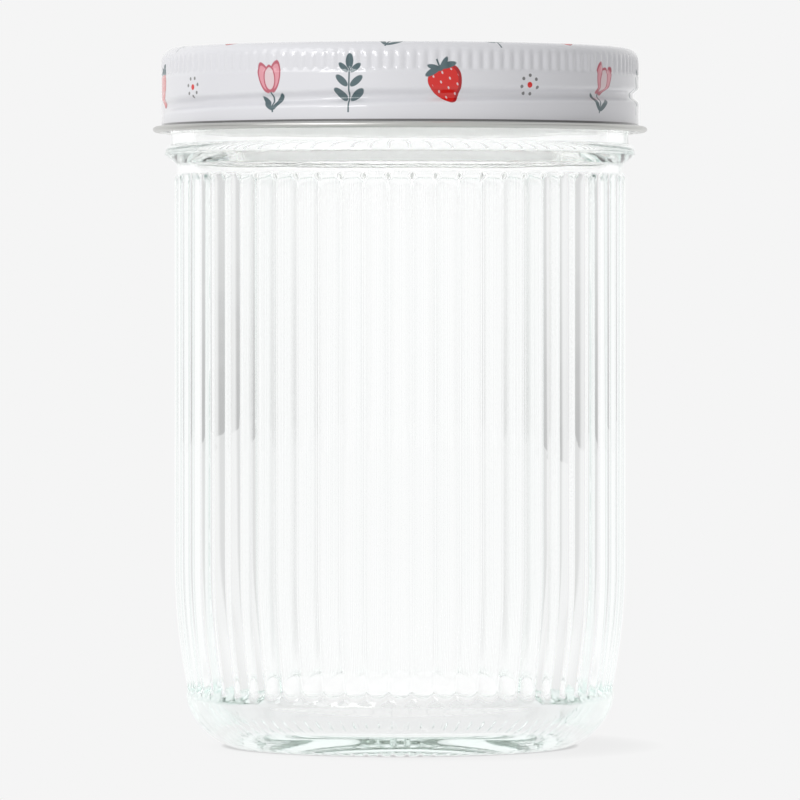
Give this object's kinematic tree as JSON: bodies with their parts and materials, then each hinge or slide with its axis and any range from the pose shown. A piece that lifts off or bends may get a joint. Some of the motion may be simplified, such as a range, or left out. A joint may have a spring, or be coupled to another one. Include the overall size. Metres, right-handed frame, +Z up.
{
  "type": "jam pot",
  "caption": "Clear glass jam pot with vertical ribs, a neck bead and a two-piece screw closure of flat disc and threaded band.",
  "frame": {"origin": "middle of the base, on the surface that the jar stands on", "axes": "+Z up along the axis of the jar; +X and +Y lie across it, and the picture looks along +Y"},
  "size_m": [0.0894, 0.0894, 0.126],
  "materials": {
    "glass": "clear pressed glass, faintly green where it is thick",
    "disc_tinplate": "printed off-white lacquer, semi-gloss",
    "sealing_compound": "soft matt sealing compound",
    "band_tinplate": "printed off-white lacquer, semi-gloss, with a bare rolled edge"
  },
  "bodies": {
    "jar": {"glass_jar": "glass"},
    "disc": {"lid_disc": "disc_tinplate", "sealing_ring": "sealing_compound"},
    "band": {"screw_band": "band_tinplate"}
  },
  "joints": [
    {"name": "lid_lift", "type": "slide", "parent": "jar", "child": "disc", "axis": [0, 0, 1], "range_m": [0, 0.01841]},
    {"name": "band_turn", "type": "hinge", "parent": "disc", "child": "band", "pos_m": [0, 0, 0.118], "axis": [0, 0, 1], "range_deg": [0, 1440]}
  ],
  "couplings": [
    {"joint": "lid_lift", "follows": "band_turn", "m_per_rad": 0.00073211}
  ]
}
